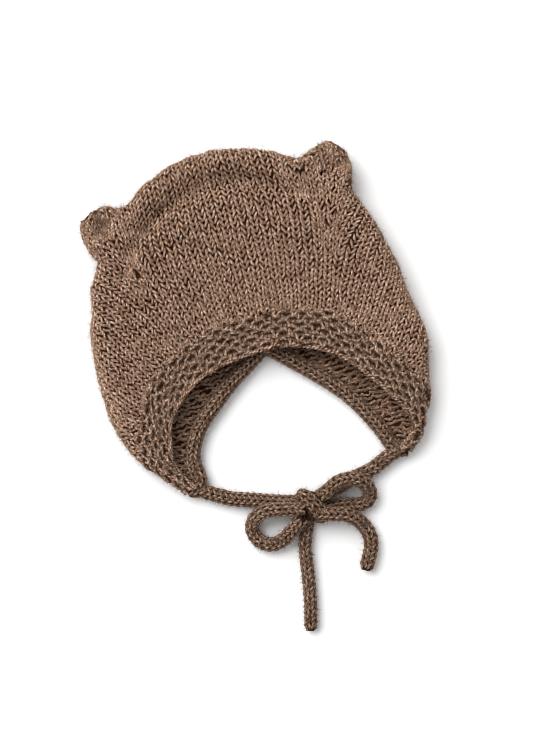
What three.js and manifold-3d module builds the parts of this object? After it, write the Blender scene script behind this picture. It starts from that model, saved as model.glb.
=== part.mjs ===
// A knitted baby bonnet with bear ears. It lies on its back with the front layer up, and its two ties are in a bow.
// Millimetres. +Z is up from the surface, +Y runs towards the crown, and the origin is on the surface
// under the middle of the bonnet.
import * as THREE from "three";
import { mergeVertices } from "three/addons/utils/BufferGeometryUtils.js";
import Module from "manifold-3d";

const wasm = await Module();
wasm.setup();

// Driving dimensions of the knitted shell.
const bonnetWidth = 190; // across the two side folds
const bonnetLength = 200; // from the chin corners to the crown fold
const knitThickness = 3.6; // two crossing layers of the yarn
const bandThickness = 4.2; // the moss stitch of the band is a little thicker
const bandWidth = 21; // from the face edge to where the plain knitting starts
const frontHeight = 24; // how high the front layer lies above the surface
const foldDepth = 15; // how far inside the outline the fold is round
const crownDentDepth = 3.2; // the trough that runs along the inside of the crown fold
const crownDentWidth = 9;
const seamGap = 0.3; // what neighbouring pieces keep between them
const bandGap = 0.7; // between the band and the plain knitting, wider as it closes up inside a fold
const cordSway = 0.15; // what the neck fabric keeps off the cord beside it, past the gap
const knotClear = 0.2; // between the knot and the surface

// Driving dimensions of the edging, the ties and the bow.
const cordDiameter = 7.6;
const cordSides = 8;
const knotWidth = 14.4; // along the ties
const knotLength = 22;
const knotHeight = 15.2;
const knotWrap = 1.7; // how far the strand that crosses the knot stands out

// Driving dimensions of the ears.
const earWidth = 30;
const earHeight = 26; // from its root inside the fold to its tip
const earRoot = 8; // how deep inside the fold its outline starts
const earThickness = 13;
const earLift = 11; // the height of the middle of an ear above the surface

// How finely the pieces are faceted.
const shellSteps = 44; // along the face edge, from corner to corner
const shellRows = 24; // from the band to the neck
const bandRows = 7;
const cornerSteps = 4; // at each chin corner, where there is only band
const edgingSteps = 30;
const earSpokes = 24;
const earRings = 5;

// One row for each section of the shell, from the left chin corner over the crown to the right one.
// A section starts at the rim, crosses the front layer to the fold and comes back under it to the neck.
// Places are shares of half the width and half the length, heights are shares of frontHeight,
// and dent is the share of crownDentDepth.
const sections = [
  { rimX: -0.594, rimY: -0.89, rimZ: 0.37, foldX: -0.65, foldY: -0.915, crest: 0.4, neckX: -0.542, neckY: -0.87, dent: 0 },
  { rimX: -0.653, rimY: -0.805, rimZ: 0.38, foldX: -0.779, foldY: -0.77, crest: 0.5, neckX: -0.562, neckY: -0.78, dent: 0 },
  { rimX: -0.693, rimY: -0.71, rimZ: 0.42, foldX: -0.932, foldY: -0.57, crest: 0.68, neckX: -0.558, neckY: -0.7, dent: 0 },
  { rimX: -0.679, rimY: -0.6, rimZ: 0.49, foldX: -0.996, foldY: -0.3, crest: 0.84, neckX: -0.526, neckY: -0.63, dent: 0 },
  { rimX: -0.637, rimY: -0.47, rimZ: 0.56, foldX: -0.968, foldY: 0.13, crest: 0.91, neckX: -0.474, neckY: -0.55, dent: 0.1 },
  { rimX: -0.532, rimY: -0.355, rimZ: 0.61, foldX: -0.826, foldY: 0.52, crest: 0.92, neckX: -0.376, neckY: -0.464, dent: 0.7 },
  { rimX: -0.358, rimY: -0.25, rimZ: 0.65, foldX: -0.474, foldY: 0.87, crest: 0.92, neckX: -0.21, neckY: -0.335, dent: 1 },
  { rimX: -0.126, rimY: -0.205, rimZ: 0.66, foldX: -0.063, foldY: 0.996, crest: 0.92, neckX: -0.063, neckY: -0.245, dent: 1 },
  { rimX: 0.084, rimY: -0.195, rimZ: 0.66, foldX: 0.347, foldY: 0.91, crest: 0.92, neckX: 0.032, neckY: -0.192, dent: 0.9 },
  { rimX: 0.295, rimY: -0.238, rimZ: 0.66, foldX: 0.684, foldY: 0.675, crest: 0.92, neckX: 0.126, neckY: -0.26, dent: 0.4 },
  { rimX: 0.484, rimY: -0.345, rimZ: 0.63, foldX: 0.866, foldY: 0.36, crest: 0.91, neckX: 0.253, neckY: -0.37, dent: 0 },
  { rimX: 0.642, rimY: -0.515, rimZ: 0.58, foldX: 0.977, foldY: -0.13, crest: 0.88, neckX: 0.421, neckY: -0.53, dent: 0 },
  { rimX: 0.753, rimY: -0.67, rimZ: 0.51, foldX: 0.993, foldY: -0.44, crest: 0.8, neckX: 0.526, neckY: -0.67, dent: 0 },
  { rimX: 0.81, rimY: -0.79, rimZ: 0.45, foldX: 0.942, foldY: -0.66, crest: 0.68, neckX: 0.589, neckY: -0.78, dent: 0 },
  { rimX: 0.813, rimY: -0.845, rimZ: 0.41, foldX: 0.895, foldY: -0.8, crest: 0.57, neckX: 0.616, neckY: -0.835, dent: 0 },
  { rimX: 0.758, rimY: -0.91, rimZ: 0.39, foldX: 0.826, foldY: -0.92, crest: 0.45, neckX: 0.637, neckY: -0.885, dent: 0 },
  { rimX: 0.699, rimY: -0.955, rimZ: 0.37, foldX: 0.751, foldY: -0.985, crest: 0.4, neckX: 0.646, neckY: -0.925, dent: 0 },
];

// Each ear sits on the fold at a place between two sections. turn is where its tip points, in degrees from +X,
// and dent is how deep its front is pressed in.
const ears = [
  { name: "ear_left", at: 0.335, turn: 138, dent: 3.6 },
  { name: "ear_right", at: 0.557, turn: 49, dent: 1.6 },
];

// The routes of the free cords, from the bonnet or the knot outwards.
const cordRoutes = {
  tie_left: [
    [-52.4, -89.5, 4.1], [-47.6, -92.6, 3.9], [-41.7, -95.8, 3.8], [-36, -98.7, 3.8], [-30.2, -100.5, 3.8],
    [-22, -103.1, 3.8], [-11.1, -106.7, 3.8], [4, -110.7, 3.8],
  ],
  tie_right: [
    [62.6, -94.6, 4], [54.2, -97.8, 3.8], [47.2, -101.2, 3.8], [40.3, -102.7, 3.8], [34.6, -103.9, 3.8],
    [28.8, -105.5, 3.8], [22.4, -107.3, 3.8], [12.5, -109.4, 3.8],
  ],
  bow_loop_left: [
    [2.6, -113.8, 12.2], [-11.7, -110.6, 12], [-19.9, -109.9, 10.4], [-26.7, -113, 6.2],
    [-29.4, -118.9, 3.9], [-27.2, -125.5, 3.8], [-21.5, -129.6, 3.8], [-14.7, -129.1, 4.8],
    [-7.5, -124.8, 8.9], [0.4, -118.4, 11.8],
  ],
  bow_loop_right: [
    [13.4, -109.5, 12.6], [24.7, -103.7, 12.4], [31.5, -103.3, 12.2], [38.2, -106.2, 11.4],
    [41.9, -112.2, 6.8], [40.4, -117.8, 4.1], [34.9, -119.5, 3.8], [28, -118, 3.8], [21.7, -117.1, 3.8],
    [10.5, -116.9, 3.9],
  ],
  tie_end_right: [
    [10.4, -119, 12.2], [20.4, -121.3, 12.2], [25.4, -122.9, 11.4], [30, -126.4, 8],
    [33.4, -131, 4.4], [35.6, -137.2, 3.8], [34.9, -145, 3.8], [29.9, -154.8, 3.8],
  ],
  tie_end_left: [
    [3.5, -121, 3.8], [-1.4, -132.8, 3.8], [-2.9, -140.8, 3.8], [-4.2, -150.5, 3.8],
    [-5.5, -160, 3.8], [-7.8, -171.8, 3.8], [-9.9, -180.8, 3.8],
  ],
};
const cordSteps = {
  tie_left: 10,
  tie_right: 9,
  bow_loop_left: 18,
  bow_loop_right: 16,
  tie_end_right: 12,
  tie_end_left: 10,
};
const knotCentre = new THREE.Vector3(7.2, -113.6, knotHeight / 2 + knotClear);
const knotTurn = -14; // the plan direction of the ties through the knot, in degrees
const knotWrapTurn = -48; // the direction of the strand over the knot, from the ties

const wool = (tone) =>
  new THREE.MeshStandardMaterial({ color: tone, roughness: 0.95, metalness: 0 });
const knitWool = wool(0x7a604f);
const bandWool = wool(0x74594a);
const cordWool = wool(0x6a5142);

// A smooth curve through one value of every section, read at a share of the way along them.
const halfX = (bonnetWidth - knitThickness) / 2;
const halfY = (bonnetLength - knitThickness) / 2;
const through = (toPoint) =>
  new THREE.CatmullRomCurve3(sections.map(toPoint), false, "catmullrom", 0.5);
const rimLine = through(
  (s) => new THREE.Vector3(s.rimX * halfX, s.rimY * halfY, s.rimZ * frontHeight),
);
const foldLine = through(
  (s) => new THREE.Vector3(s.foldX * halfX, s.foldY * halfY, s.crest * frontHeight),
);
const cordLine = through(
  (s) => new THREE.Vector3(s.neckX * halfX, s.neckY * halfY, cordDiameter / 2),
);
const dentLine = through((s) => new THREE.Vector3(s.dent * crownDentDepth, 0, 0));

// The fabric ends beside the edging cord, on the side towards the crown.
const neckRoom = cordDiameter / 2 + seamGap + cordSway;
function neckPoint(at) {
  const run = cordLine.getTangent(at);
  return cordLine.getPoint(at).add(new THREE.Vector3(-run.y, run.x, 0).setLength(neckRoom));
}

// The middle of the fabric along one section: over the front layer, round the fold and back along the surface.
class Section extends THREE.Curve {
  static frontEnd = 0.38;
  static foldMiddle = 0.5;
  static foldEnd = 0.62;

  constructor(at) {
    super();
    this.rim = rimLine.getPoint(at);
    this.fold = foldLine.getPoint(at);
    this.neck = neckPoint(at);
    this.dent = dentLine.getPoint(at).x;
    this.backZ = knitThickness / 2;
    this.foldZ = (this.fold.z + this.backZ) / 2;
    this.frontRun = Math.hypot(this.fold.x - this.rim.x, this.fold.y - this.rim.y);
    this.backRun = Math.hypot(this.neck.x - this.fold.x, this.neck.y - this.fold.y);
    this.frontRound = Math.min(foldDepth, 0.6 * this.frontRun);
    this.backRound = Math.min(foldDepth, 0.6 * this.backRun);
  }

  static between(from, to, share, z) {
    return new THREE.Vector3().lerpVectors(from, to, share).setZ(z);
  }

  getPoint(t) {
    const { frontEnd, foldMiddle, foldEnd } = Section;
    const flatFront = 1 - this.frontRound / this.frontRun;
    const roundBack = this.backRound / this.backRun;
    if (t < frontEnd) {
      const share = (t / frontEnd) * flatFront;
      const rise = Math.sin(((t / frontEnd) * Math.PI) / 2);
      const fromFold = (flatFront - share) * this.frontRun;
      const dent = this.dent * Math.exp(-(((fromFold - crownDentWidth) / crownDentWidth) ** 2));
      const z = this.rim.z + (this.fold.z - this.rim.z) * rise - dent;
      return Section.between(this.rim, this.fold, share, z);
    }
    if (t < foldMiddle) {
      const turn = (((t - frontEnd) / (foldMiddle - frontEnd)) * Math.PI) / 2;
      const share = flatFront + (1 - flatFront) * Math.sin(turn);
      const dent = this.dent * Math.exp(-1) * Math.cos(turn);
      const z = this.foldZ + (this.fold.z - this.foldZ) * Math.cos(turn) - dent;
      return Section.between(this.rim, this.fold, share, z);
    }
    if (t < foldEnd) {
      const turn = (((t - foldMiddle) / (foldEnd - foldMiddle)) * Math.PI) / 2;
      const z = this.foldZ - (this.foldZ - this.backZ) * Math.sin(turn);
      return Section.between(this.fold, this.neck, roundBack * (1 - Math.cos(turn)), z);
    }
    const share = roundBack + ((t - foldEnd) / (1 - foldEnd)) * (1 - roundBack);
    return Section.between(this.fold, this.neck, share, this.backZ);
  }
}

// A point of the fabric's middle, moved out along its own normal.
const probe = 1e-3;
function fabricPoint(at, t, outward) {
  const [atLow, atHigh] = [Math.max(0, at - probe), Math.min(1, at + probe)];
  const [tLow, tHigh] = [Math.max(0, t - probe), Math.min(1, t + probe)];
  const here = new Section(at);
  const along = new Section(atHigh).getPoint(t).sub(new Section(atLow).getPoint(t));
  const across = here.getPoint(tHigh).sub(here.getPoint(tLow));
  const normal = across.cross(along).normalize();
  return here.getPoint(t).addScaledVector(normal, -outward);
}

// Where along a section its fabric has run a given length from the rim.
function shareAtLength(at, length) {
  const section = new Section(at);
  return section.getUtoTmapping(0, Math.min(length, section.getLength()));
}

// The first and last section that are long enough to have plain knitting past the band.
const shortestPlain = 1.5;
function plainEnd(from, towards) {
  let [short, long] = [from, towards];
  for (let tries = 0; tries < 30; tries += 1) {
    const middle = (short + long) / 2;
    if (new Section(middle).getLength() < bandWidth + bandGap + shortestPlain) short = middle;
    else long = middle;
  }
  return long;
}
const plainFirst = plainEnd(0, 0.5);
const plainLast = plainEnd(1, 0.5);

// A closed mesh from rows of points: each row has as many points as the next.
function geometryOf(points, triangles) {
  const geometry = new THREE.BufferGeometry();
  const flat = points.flatMap((p) => [p.x, p.y, p.z]);
  geometry.setAttribute("position", new THREE.Float32BufferAttribute(flat, 3));
  geometry.setIndex(triangles);
  return geometry;
}

// A piece of fabric as a solid: its outer and inner faces and the four edges between them.
// pointAt(column, row, outward) gives a point of the face that lies outward from the fabric's middle.
function fabricSolid(columns, rows, thickness, pointAt) {
  const points = [];
  const outerFace = knitThickness / 2;
  for (const outward of [outerFace, outerFace - thickness]) {
    for (let column = 0; column <= columns; column += 1) {
      for (let row = 0; row <= rows; row += 1) points.push(pointAt(column, row, outward));
    }
  }
  const face = (columns + 1) * (rows + 1);
  const outer = (column, row) => column * (rows + 1) + row;
  const inner = (column, row) => face + outer(column, row);
  const triangles = [];
  const quad = (a, b, c, d) => {
    const split = points[a].distanceTo(points[c]) < points[b].distanceTo(points[d]);
    triangles.push(...(split ? [a, b, c, a, c, d] : [b, c, d, b, d, a]));
  };
  for (let column = 0; column < columns; column += 1) {
    for (let row = 0; row < rows; row += 1) {
      quad(outer(column, row), outer(column + 1, row), outer(column + 1, row + 1), outer(column, row + 1));
      quad(inner(column, row), inner(column, row + 1), inner(column + 1, row + 1), inner(column + 1, row));
    }
    quad(outer(column, 0), inner(column, 0), inner(column + 1, 0), outer(column + 1, 0));
    quad(outer(column, rows), outer(column + 1, rows), inner(column + 1, rows), inner(column, rows));
  }
  for (let row = 0; row < rows; row += 1) {
    quad(outer(0, row), outer(0, row + 1), inner(0, row + 1), inner(0, row));
    quad(outer(columns, row), inner(columns, row), inner(columns, row + 1), outer(columns, row + 1));
  }
  return solidOf(geometryOf(points, triangles));
}

// A closed three.js geometry as a solid that can be cut and joined, and back again.
function solidOf(geometry) {
  const bare = geometry.clone();
  for (const name of ["normal", "uv"]) bare.deleteAttribute(name);
  const merged = mergeVertices(bare, 1e-4);
  return new wasm.Manifold(
    new wasm.Mesh({
      numProp: 3,
      vertProperties: new Float32Array(merged.attributes.position.array),
      triVerts: new Uint32Array(merged.index.array),
    }),
  );
}

function meshOf(name, solid, material) {
  const { vertProperties, triVerts } = solid.getMesh();
  const geometry = new THREE.BufferGeometry();
  geometry.setAttribute("position", new THREE.BufferAttribute(vertProperties, 3));
  geometry.setIndex(new THREE.BufferAttribute(triVerts, 1));
  geometry.computeVertexNormals();
  const mesh = new THREE.Mesh(geometry, material);
  mesh.name = name;
  return mesh;
}

// A round cord along a curve.
function cordSolid(curve, steps, diameter) {
  const round = new THREE.Shape().absarc(0, 0, diameter / 2, 0, 2 * Math.PI);
  return solidOf(
    new THREE.ExtrudeGeometry(round, {
      steps,
      curveSegments: cordSides,
      bevelEnabled: false,
      extrudePath: curve,
    }),
  );
}

// The plain knitting: the front layer past the band, the fold all round, and the back layer down to the neck.
function plainPoint(column, row, outward) {
  const at = THREE.MathUtils.lerp(plainFirst, plainLast, column / shellSteps);
  const start = shareAtLength(at, bandWidth + bandGap);
  return fabricPoint(at, THREE.MathUtils.lerp(start, 1, row / shellRows), outward);
}

function plainKnitting() {
  return fabricSolid(shellSteps, shellRows, knitThickness, plainPoint);
}

// The moss stitch band along the face edge. At the chin corners it goes on round the fold to the neck.
function faceBand() {
  const lastCorner = cornerSteps + shellSteps;
  return fabricSolid(lastCorner + cornerSteps, bandRows, bandThickness, (column, row, outward) => {
    const plainColumn = THREE.MathUtils.clamp(column - cornerSteps, 0, shellSteps);
    let at = THREE.MathUtils.lerp(plainFirst, plainLast, plainColumn / shellSteps);
    if (column < cornerSteps) at = (plainFirst * column) / cornerSteps;
    if (column > lastCorner) at += (1 - plainLast) * ((column - lastCorner) / cornerSteps);
    const plainHere = column >= cornerSteps && column <= lastCorner;
    const end = plainHere ? shareAtLength(at, bandWidth) : 1;
    return fabricPoint(at, (end * row) / bandRows, outward);
  });
}

// What the fold encloses near the crown, filled, so that an ear can be cut to sit on it.
function crownBlock() {
  const [first, last] = [Math.round(0.2 * shellSteps), Math.round(0.72 * shellSteps)];
  const steps = last - first;
  const points = [];
  for (let column = first; column <= last; column += 1) {
    for (let row = 0; row <= shellRows; row += 1) {
      points.push(plainPoint(column, row, knitThickness / 2 + seamGap));
    }
  }
  const ring = shellRows + 1;
  const triangles = [];
  for (let step = 0; step < steps; step += 1) {
    for (let row = 0; row < ring; row += 1) {
      const next = (row + 1) % ring;
      const [a, b] = [step * ring + row, (step + 1) * ring + row];
      const [c, d] = [(step + 1) * ring + next, step * ring + next];
      const split = points[a].distanceTo(points[c]) < points[b].distanceTo(points[d]);
      triangles.push(...(split ? [a, b, c, a, c, d] : [b, c, d, b, d, a]));
    }
  }
  for (let row = 1; row < ring - 1; row += 1) {
    const end = steps * ring;
    triangles.push(0, row, row + 1, end, end + row + 1, end + row);
  }
  return solidOf(geometryOf(points, triangles));
}

// An ear is a round lobe of two layers, pressed in at its front. It is made whole and then cut to the crown.
function earSolid({ at, turn, dent }) {
  const points = [];
  const middle = earHeight / 2 - earRoot;
  const spokes = (ring, side) => {
    const reach = ring / earRings;
    const thick = (earThickness / 2) * Math.sqrt(1 - reach ** 3 * 0.96);
    const pressed = side > 0 ? dent * Math.exp(-((reach / 0.55) ** 2)) : 0;
    for (let spoke = 0; spoke < earSpokes; spoke += 1) {
      const angle = (spoke / earSpokes) * 2 * Math.PI;
      const across = (Math.cos(angle) * reach * earWidth) / 2;
      const out = Math.sin(angle) * reach * (earHeight / 2) + middle;
      points.push(new THREE.Vector3(across, out, side * thick - pressed));
    }
  };
  for (let ring = 1; ring <= earRings; ring += 1) spokes(ring, 1);
  for (let ring = earRings; ring >= 1; ring -= 1) spokes(ring, -1);
  const front = points.push(new THREE.Vector3(0, middle, earThickness / 2 - dent)) - 1;
  const back = points.push(new THREE.Vector3(0, middle, -earThickness / 2)) - 1;
  const triangles = [];
  const rings = 2 * earRings;
  for (let spoke = 0; spoke < earSpokes; spoke += 1) {
    const next = (spoke + 1) % earSpokes;
    triangles.push(front, spoke, next);
    for (let ring = 0; ring < rings - 1; ring += 1) {
      const [a, b] = [ring * earSpokes + spoke, ring * earSpokes + next];
      triangles.push(a, a + earSpokes, b + earSpokes, a, b + earSpokes, b);
    }
    const last = (rings - 1) * earSpokes;
    triangles.push(back, last + next, last + spoke);
  }
  const fold = new Section(at).getPoint(Section.foldMiddle);
  const place = new THREE.Matrix4()
    .makeRotationZ(THREE.MathUtils.degToRad(turn - 90))
    .setPosition(fold.x, fold.y, earLift);
  return solidOf(geometryOf(points, triangles).applyMatrix4(place));
}

// The knot is a rounded block. The strand that crosses it stands out as a ridge along a slant.
function knotSolid(grow) {
  const knot = new THREE.SphereGeometry(1, 20, 12);
  const place = knot.attributes.position;
  const slant = THREE.MathUtils.degToRad(knotWrapTurn);
  const point = new THREE.Vector3();
  const squared = (share) => Math.sign(share) * Math.abs(share) ** 0.7;
  for (let i = 0; i < place.count; i += 1) {
    point.fromBufferAttribute(place, i);
    const aside = (point.y * Math.cos(slant) * knotLength - point.x * Math.sin(slant) * knotWidth) / 2;
    const ridge = knotWrap * Math.exp(-((aside / (cordDiameter / 2)) ** 2)) * Math.max(0, point.z);
    const [x, y, z] = point.toArray().map(squared);
    place.setXYZ(
      i,
      x * (knotWidth / 2 + grow),
      y * (knotLength / 2 + grow),
      z * (knotHeight / 2 + grow) + ridge,
    );
  }
  return solidOf(knot.rotateZ(THREE.MathUtils.degToRad(knotTurn)).translate(...knotCentre));
}

const bonnet = new THREE.Group();
bonnet.add(meshOf("bonnet_body", plainKnitting(), knitWool));
bonnet.add(meshOf("front_band", faceBand(), bandWool));
bonnet.add(meshOf("neck_edging", cordSolid(cordLine, edgingSteps, cordDiameter), cordWool));

const crown = crownBlock();
for (const ear of ears) bonnet.add(meshOf(ear.name, earSolid(ear).subtract(crown), knitWool));

bonnet.add(meshOf("bow_knot", knotSolid(0), cordWool));
const knotRoom = knotSolid(seamGap);
for (const [name, route] of Object.entries(cordRoutes)) {
  const curve = new THREE.CatmullRomCurve3(route.map((p) => new THREE.Vector3(...p)));
  const cord = cordSolid(curve, cordSteps[name], cordDiameter);
  bonnet.add(meshOf(name, cord.subtract(knotRoom), cordWool));
}

export default bonnet;
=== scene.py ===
"""A hand-knitted baby bonnet with bear ears, lying flat on its back with its ties in a bow."""
import math

import bmesh
import bpy
import numpy as np
from mathutils import Matrix, Vector, kdtree


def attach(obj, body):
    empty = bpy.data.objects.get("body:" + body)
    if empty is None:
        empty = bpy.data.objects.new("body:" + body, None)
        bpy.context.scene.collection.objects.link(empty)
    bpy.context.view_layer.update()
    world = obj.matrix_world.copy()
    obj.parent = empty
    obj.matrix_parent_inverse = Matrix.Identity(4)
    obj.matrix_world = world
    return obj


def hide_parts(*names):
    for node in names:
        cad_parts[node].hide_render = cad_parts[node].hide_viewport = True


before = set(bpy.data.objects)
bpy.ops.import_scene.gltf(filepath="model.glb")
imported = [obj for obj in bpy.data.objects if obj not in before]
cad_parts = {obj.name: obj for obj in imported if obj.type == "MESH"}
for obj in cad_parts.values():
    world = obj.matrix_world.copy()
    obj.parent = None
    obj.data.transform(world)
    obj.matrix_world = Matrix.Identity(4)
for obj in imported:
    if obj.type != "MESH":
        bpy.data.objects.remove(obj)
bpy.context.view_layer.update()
MM = 0.001

# The table top, the light and the camera.
# The bonnet was laid on a white surface by a large window and photographed from straight above,
# turned a little to one side.
PHOTO_TURN = math.radians(14)
FIELD_HEIGHT = 0.4215  # what the frame's height covers on the table
CAMERA_HEIGHT = 1.5
LOOKS_AT = (0.0062, -0.0305)
TABLE_RADIUS, TABLE_DROP = 4, 0.0002

camera_data = bpy.data.cameras.new("overhead_camera")
camera_data.sensor_fit = "VERTICAL"
camera_data.sensor_height = 36
camera_data.lens = 36 * (CAMERA_HEIGHT - 0.01) / FIELD_HEIGHT
camera_data.clip_end = 20
camera = bpy.data.objects.new("overhead_camera", camera_data)
camera.location = (*LOOKS_AT, CAMERA_HEIGHT)
camera.rotation_euler = (0, 0, -PHOTO_TURN)
bpy.context.collection.objects.link(camera)
bpy.context.scene.camera = camera
bpy.context.scene.view_settings.view_transform = "Standard"
bpy.context.scene.cycles.filter_width = 0.9  # the photograph is very sharp


def new_material(name):
    """A material with its Principled shader, and a function that adds and links nodes in it."""
    material = bpy.data.materials.new(name)
    material.use_nodes = True
    tree = material.node_tree
    shader = tree.nodes["Principled BSDF"]

    def node(kind, inputs=(), **settings):
        made = tree.nodes.new(kind)
        for key, value in settings.items():
            setattr(made, key, value)
        for key, value in dict(inputs).items():
            if isinstance(value, bpy.types.NodeSocket):
                tree.links.new(value, made.inputs[key])
            else:
                made.inputs[key].default_value = value
        return made

    return material, shader, node


def place_mesh(name, bm, material):
    """The finished mesh as an object of the scene."""
    mesh = bpy.data.meshes.new(name)
    bm.to_mesh(mesh)
    bm.free()
    mesh.materials.append(material)
    placed = bpy.data.objects.new(name, mesh)
    bpy.context.collection.objects.link(placed)
    return placed


table_paint, table_shader, node = new_material("matt_white_table")
table_shader.inputs["Base Color"].default_value = (0.93, 0.93, 0.93, 1)
table_shader.inputs["Roughness"].default_value = 0.9
table_shader.inputs["Specular IOR Level"].default_value = 0.1
bm = bmesh.new()
bmesh.ops.create_circle(bm, cap_ends=True, segments=96, radius=TABLE_RADIUS)
bmesh.ops.translate(bm, verts=bm.verts, vec=(0, 0, -TABLE_DROP))
place_mesh("table_top", bm, table_paint)

world = bpy.data.worlds.new("bright_room")
world.use_nodes = True
world.node_tree.nodes["Background"].inputs["Color"].default_value = (1, 1, 1, 1)
world.node_tree.nodes["Background"].inputs["Strength"].default_value = 0.62
bpy.context.scene.world = world

window_data = bpy.data.lights.new("window", "SUN")
window_data.angle = math.radians(48)
window_data.energy = 3.1
window = bpy.data.objects.new("window", window_data)
window.rotation_euler = Vector((-0.36, 0.58, 0.73)).to_track_quat("Z", "Y").to_euler()
bpy.context.collection.objects.link(window)

# The ties and the bow.
# Each tie is a cord knitted round on four stitches, in the same heathered brown wool as the bonnet.
# They come from the two chin corners, and their bow lies flat on the table.
CORD_DIAMETER = 7.6
CORD_STITCHES = 4  # round the cord
CORD_ROW = 3.5  # along the cord
CORD_YARN = 0.95  # the radius of its yarn
CORD_YARN_SEAT = 1.46  # how far inside the cord's surface the middle of its yarn runs
TIP, TIP_OVER = 3.2, 0.6  # over which a free end is rounded off, and how far short of a point it stops
PLY_TWIST = 5.2  # how far along the yarn its two plies turn once round each other
FOUR_SIDED, SIX_SIDED, EIGHT_SIDED = 0, 1, 2  # how round a strand's mesh is
LEAST_CLEAR = 0.05  # what yarn keeps off the table
YARN_SHADE_DARK = (0.024, 0.006, 0.001)  # the painted shade colour of yarn that sinks into the fabric

cord_routes = {
    "tie_left": [
        (-52.4, -89.5, 4.1), (-47.6, -92.6, 3.9), (-41.7, -95.8, 3.8), (-36, -98.7, 3.8),
        (-30.2, -100.5, 3.8), (-22, -103.1, 3.8), (-11.1, -106.7, 3.8), (4, -110.7, 3.8),
    ],
    "tie_right": [
        (62.6, -94.6, 4), (54.2, -97.8, 3.8), (47.2, -101.2, 3.8), (40.3, -102.7, 3.8),
        (34.6, -103.9, 3.8), (28.8, -105.5, 3.8), (22.4, -107.3, 3.8), (12.5, -109.4, 3.8),
    ],
    "bow_loop_left": [
        (2.6, -113.8, 12.2), (-11.7, -110.6, 12), (-19.9, -109.9, 10.4), (-26.7, -113, 6.2),
        (-29.4, -118.9, 3.9), (-27.2, -125.5, 3.8), (-21.5, -129.6, 3.8), (-14.7, -129.1, 4.8),
        (-7.5, -124.8, 8.9), (0.4, -118.4, 11.8),
    ],
    "bow_loop_right": [
        (13.4, -109.5, 12.6), (24.7, -103.7, 12.4), (31.5, -103.3, 12.2), (38.2, -106.2, 11.4),
        (41.9, -112.2, 6.8), (40.4, -117.8, 4.1), (34.9, -119.5, 3.8), (28, -118, 3.8), (21.7, -117.1, 3.8),
        (10.5, -116.9, 3.9),
    ],
    "tie_end_right": [
        (10.4, -119, 12.2), (20.4, -121.3, 12.2), (25.4, -122.9, 11.4), (30, -126.4, 8),
        (33.4, -131, 4.4), (35.6, -137.2, 3.8), (34.9, -145, 3.8), (28.9, -156.6, 3.8),
    ],
    "tie_end_left": [
        (3.5, -121, 3.8), (-1.4, -132.8, 3.8), (-2.9, -140.8, 3.8), (-4.2, -150.5, 3.8),
        (-5.5, -160, 3.8), (-7.8, -171.8, 3.8), (-10.4, -182.8, 3.8),
    ],
}

yarn_runs = []  # where yarn was laid, with the way out of the fabric, for the halo of fibres


def unit(vectors):
    """Vectors of length one."""
    return vectors / np.maximum(np.linalg.norm(vectors, axis=-1, keepdims=True), 1e-9)


def no_longer(vectors, longest):
    """Vectors cut down to a length where they are longer."""
    return vectors * np.minimum(1, longest / np.linalg.norm(vectors, axis=1).clip(1e-6))[:, None]


def length_along(points):
    """How far along a line of points each of them is."""
    return np.concatenate([[0], np.cumsum(np.linalg.norm(np.diff(points, axis=0), axis=1))])


def smooth_through(points):
    """A smooth curve through the points: a function of the share of the way along them."""
    points = np.asarray(points, float)
    knots = np.vstack([2 * points[0] - points[1], points, 2 * points[-1] - points[-2]])

    def at(share):
        place = np.clip(np.asarray(share, float), 0, 1) * (len(points) - 1)
        first = np.minimum(place.astype(int), len(points) - 2)
        w = (place - first)[..., None]
        a, b, c, d = (knots[first + i] for i in range(4))
        start, end = (c - a) / 2, (d - b) / 2
        return (
            (2 * b - 2 * c + start + end) * w**3
            + (3 * c - 3 * b - 2 * start - end) * w**2
            + start * w
            + b
        )

    return at


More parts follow.
